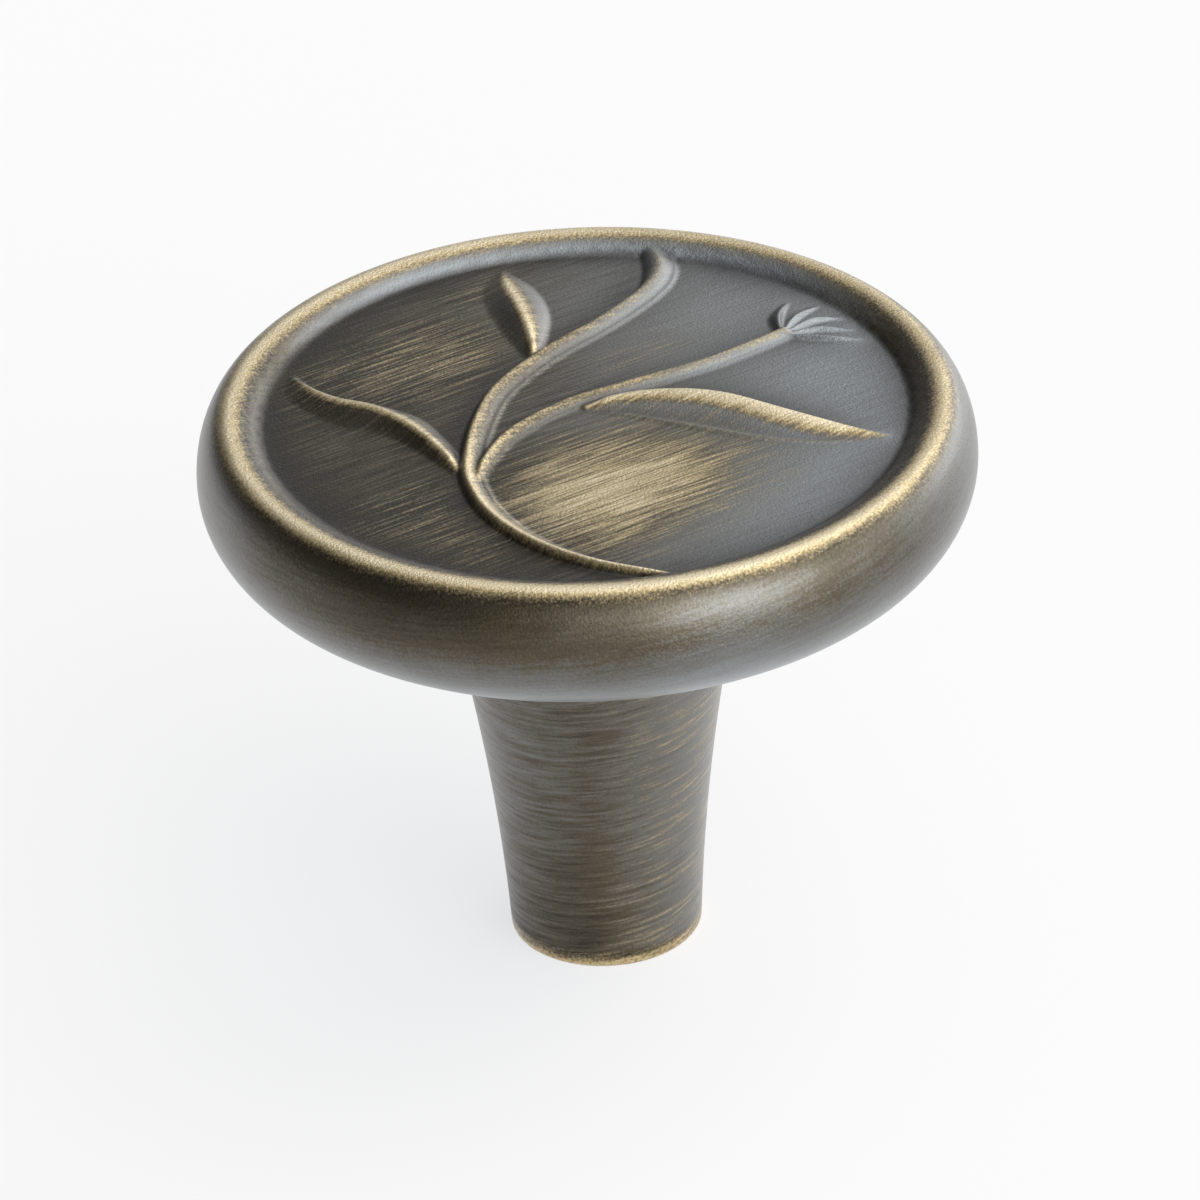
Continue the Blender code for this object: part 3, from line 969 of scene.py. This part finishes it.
tooth_depth = add_node(casting, "ShaderNodeMath", {
    0: tooth_weight.outputs[0], 1: given.outputs["Thread Depth"],
}, operation="MULTIPLY")
flat_place = add_node(casting, "ShaderNodeCombineXYZ", {
    0: lifted.outputs[0], 1: lifted.outputs[1],
})
away = add_node(casting, "ShaderNodeVectorMath", {
    0: flat_place.outputs[0],
}, operation="NORMALIZE")
cut = add_node(casting, "ShaderNodeVectorMath", {
    0: away.outputs[0], "Scale": tooth_depth.outputs[0],
}, operation="SCALE")
tapped = add_node(casting, "GeometryNodeSetPosition", {
    "Geometry": with_hollow.outputs[0], "Offset": cut.outputs[0],
})
real = add_node(casting, "GeometryNodeRealizeInstances", {"Geometry": tapped.outputs[0]})
finished = add_node(casting, "GeometryNodeSetMaterial", {
    "Geometry": real.outputs[0], "Material": given.outputs["Material"],
})
add_node(casting, "NodeGroupOutput", {0: finished.outputs[0]})

finish = knob.modifiers.new("finish_casting", "NODES")
finish.node_group = casting
finish[sockets["Ornament"]] = ornament_form
finish[sockets["Ray Top"]] = (head_height + 1.0) * MM
finish[sockets["Soften Steps"]] = 3
finish[sockets["Wear Steps"]] = 60
finish[sockets["Proud Height"]] = 0.13 * MM
finish[sockets["Slope Thinning"]] = 0.06
finish[sockets["Thread Pitch"]] = thread_pitch * MM
finish[sockets["Thread Depth"]] = 0.35 * MM
finish[sockets["Material"]] = brass
graph = bpy.context.evaluated_depsgraph_get()
finished_mesh = bpy.data.meshes.new_from_object(knob.evaluated_get(graph))
knob.modifiers.remove(finish)
knob.data = finished_mesh
finished_mesh.name = "knob_casting_finished"
bpy.data.meshes.remove(knob_mesh)
bpy.data.objects.remove(ornament_form, do_unlink=True)
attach(knob, "root")
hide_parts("knob")


# The table top that the knob stands on: a white sheet of card, wide enough
# that no edge shows. Most of its white is an even glow, so that the knob's
# shadow on it stays pale and soft.

card_half_width = 3.0
card_drop = 0.02
card_white = 0.73

card = bmesh.new()
bmesh.ops.create_grid(card, x_segments=8, y_segments=8, size=card_half_width)
bmesh.ops.translate(card, verts=card.verts, vec=(0.0, 0.0, -card_drop * MM))
card_mesh = bpy.data.meshes.new("white_card")
card.to_mesh(card_mesh)
card.free()
floor = bpy.data.objects.new("white_card", card_mesh)
bpy.context.scene.collection.objects.link(floor)
paper = bpy.data.materials.new("white_card")
paper.use_nodes = True
paper_tree = paper.node_tree
paper_tree.nodes.remove(paper_tree.nodes["Principled BSDF"])
rays = add_node(paper_tree, "ShaderNodeLightPath", {})
seen = add_node(paper_tree, "ShaderNodeMath", {
    0: rays.outputs["Is Camera Ray"], 1: rays.outputs["Is Glossy Ray"],
}, operation="MAXIMUM")
seen_all = add_node(paper_tree, "ShaderNodeMath", {
    0: seen.outputs[0], 1: rays.outputs["Is Transmission Ray"],
}, operation="MAXIMUM")
lit = add_node(paper_tree, "ShaderNodeBsdfDiffuse", {"Color": linear("7c7671")})
glow_strength = add_node(paper_tree, "ShaderNodeMath", {
    0: seen_all.outputs[0], 1: card_white,
}, operation="MULTIPLY")
glow = add_node(paper_tree, "ShaderNodeEmission", {
    "Color": linear("f9fcff"), "Strength": glow_strength.outputs[0],
})
both = add_node(paper_tree, "ShaderNodeAddShader", {0: lit.outputs[0], 1: glow.outputs[0]})
paper_output = paper_tree.nodes["Material Output"]
paper_tree.links.new(both.outputs[0], paper_output.inputs["Surface"])
floor.data.materials.append(paper)


# The studio: four broad soft lights, all on the right, in a dim room. They are
# part of the world, so they have no edge that the brass could mirror.

world = bpy.data.worlds.new("studio")
bpy.context.scene.world = world
world.use_nodes = True
sky_tree = world.node_tree
background = sky_tree.nodes["Background"]
direction = add_node(sky_tree, "ShaderNodeTexCoord", {})
room = 0.12
total = None

# Each light: azimuth and elevation in degrees, tightness, and strength
for azimuth, elevation, tightness, strength in (
    (141, 12, 8.0, 7.6), (46, 8, 7.0, 3.7), (72, 64, 6.0, 2.1), (115, 38, 6.0, 0.75),
):
    turn = math.radians(azimuth)
    tilt = math.radians(elevation)
    aim = (math.sin(turn) * math.cos(tilt), math.cos(turn) * math.cos(tilt), math.sin(tilt))
    facing = add_node(sky_tree, "ShaderNodeVectorMath", {
        0: direction.outputs["Generated"], 1: aim,
    }, operation="DOT_PRODUCT")
    fall = add_node(sky_tree, "ShaderNodeMath", {
        0: facing.outputs["Value"], 1: tightness, 2: math.log(strength) - tightness,
    }, operation="MULTIPLY_ADD")
    glow_there = add_node(sky_tree, "ShaderNodeMath", {0: fall.outputs[0]}, operation="EXPONENT")
    total = add_node(sky_tree, "ShaderNodeMath", {
        0: total.outputs[0] if total else room, 1: glow_there.outputs[0],
    }, operation="ADD")
sky_tree.links.new(total.outputs[0], background.inputs["Strength"])
background.inputs["Color"].default_value = linear("fbfdff")
bpy.context.scene.view_settings.view_transform = "Standard"


# The camera, half a metre off and looking down at the head, rolled by a small
# angle. Pixels are those of a square picture, counted from its top left.

image_size = 1200
foot_pixel = (606.9, 915.1)
focal_pixels = 9493.0
view_distance = 0.5
view_elevation = math.radians(31.14)
view_roll = math.radians(-2.44)

back = Vector((0, -math.cos(view_elevation), math.sin(view_elevation)))
level = Vector((1, 0, 0))
upright = back.cross(level)
right = level * math.cos(view_roll) + upright * math.sin(view_roll)
top = upright * math.cos(view_roll) - level * math.sin(view_roll)
to_right = (foot_pixel[0] - image_size / 2) * view_distance / focal_pixels
below = (foot_pixel[1] - image_size / 2) * view_distance / focal_pixels
stand = back * view_distance - right * to_right + top * below

camera_data = bpy.data.cameras.new("camera")
camera_data.sensor_width = 36.0
camera_data.lens = focal_pixels / image_size * camera_data.sensor_width
camera_data.clip_start = 0.01
camera = bpy.data.objects.new("camera", camera_data)
axes = Matrix((right, top, back)).transposed()
camera.matrix_world = Matrix.Translation(stand) @ axes.to_4x4()
bpy.context.scene.collection.objects.link(camera)
bpy.context.scene.camera = camera
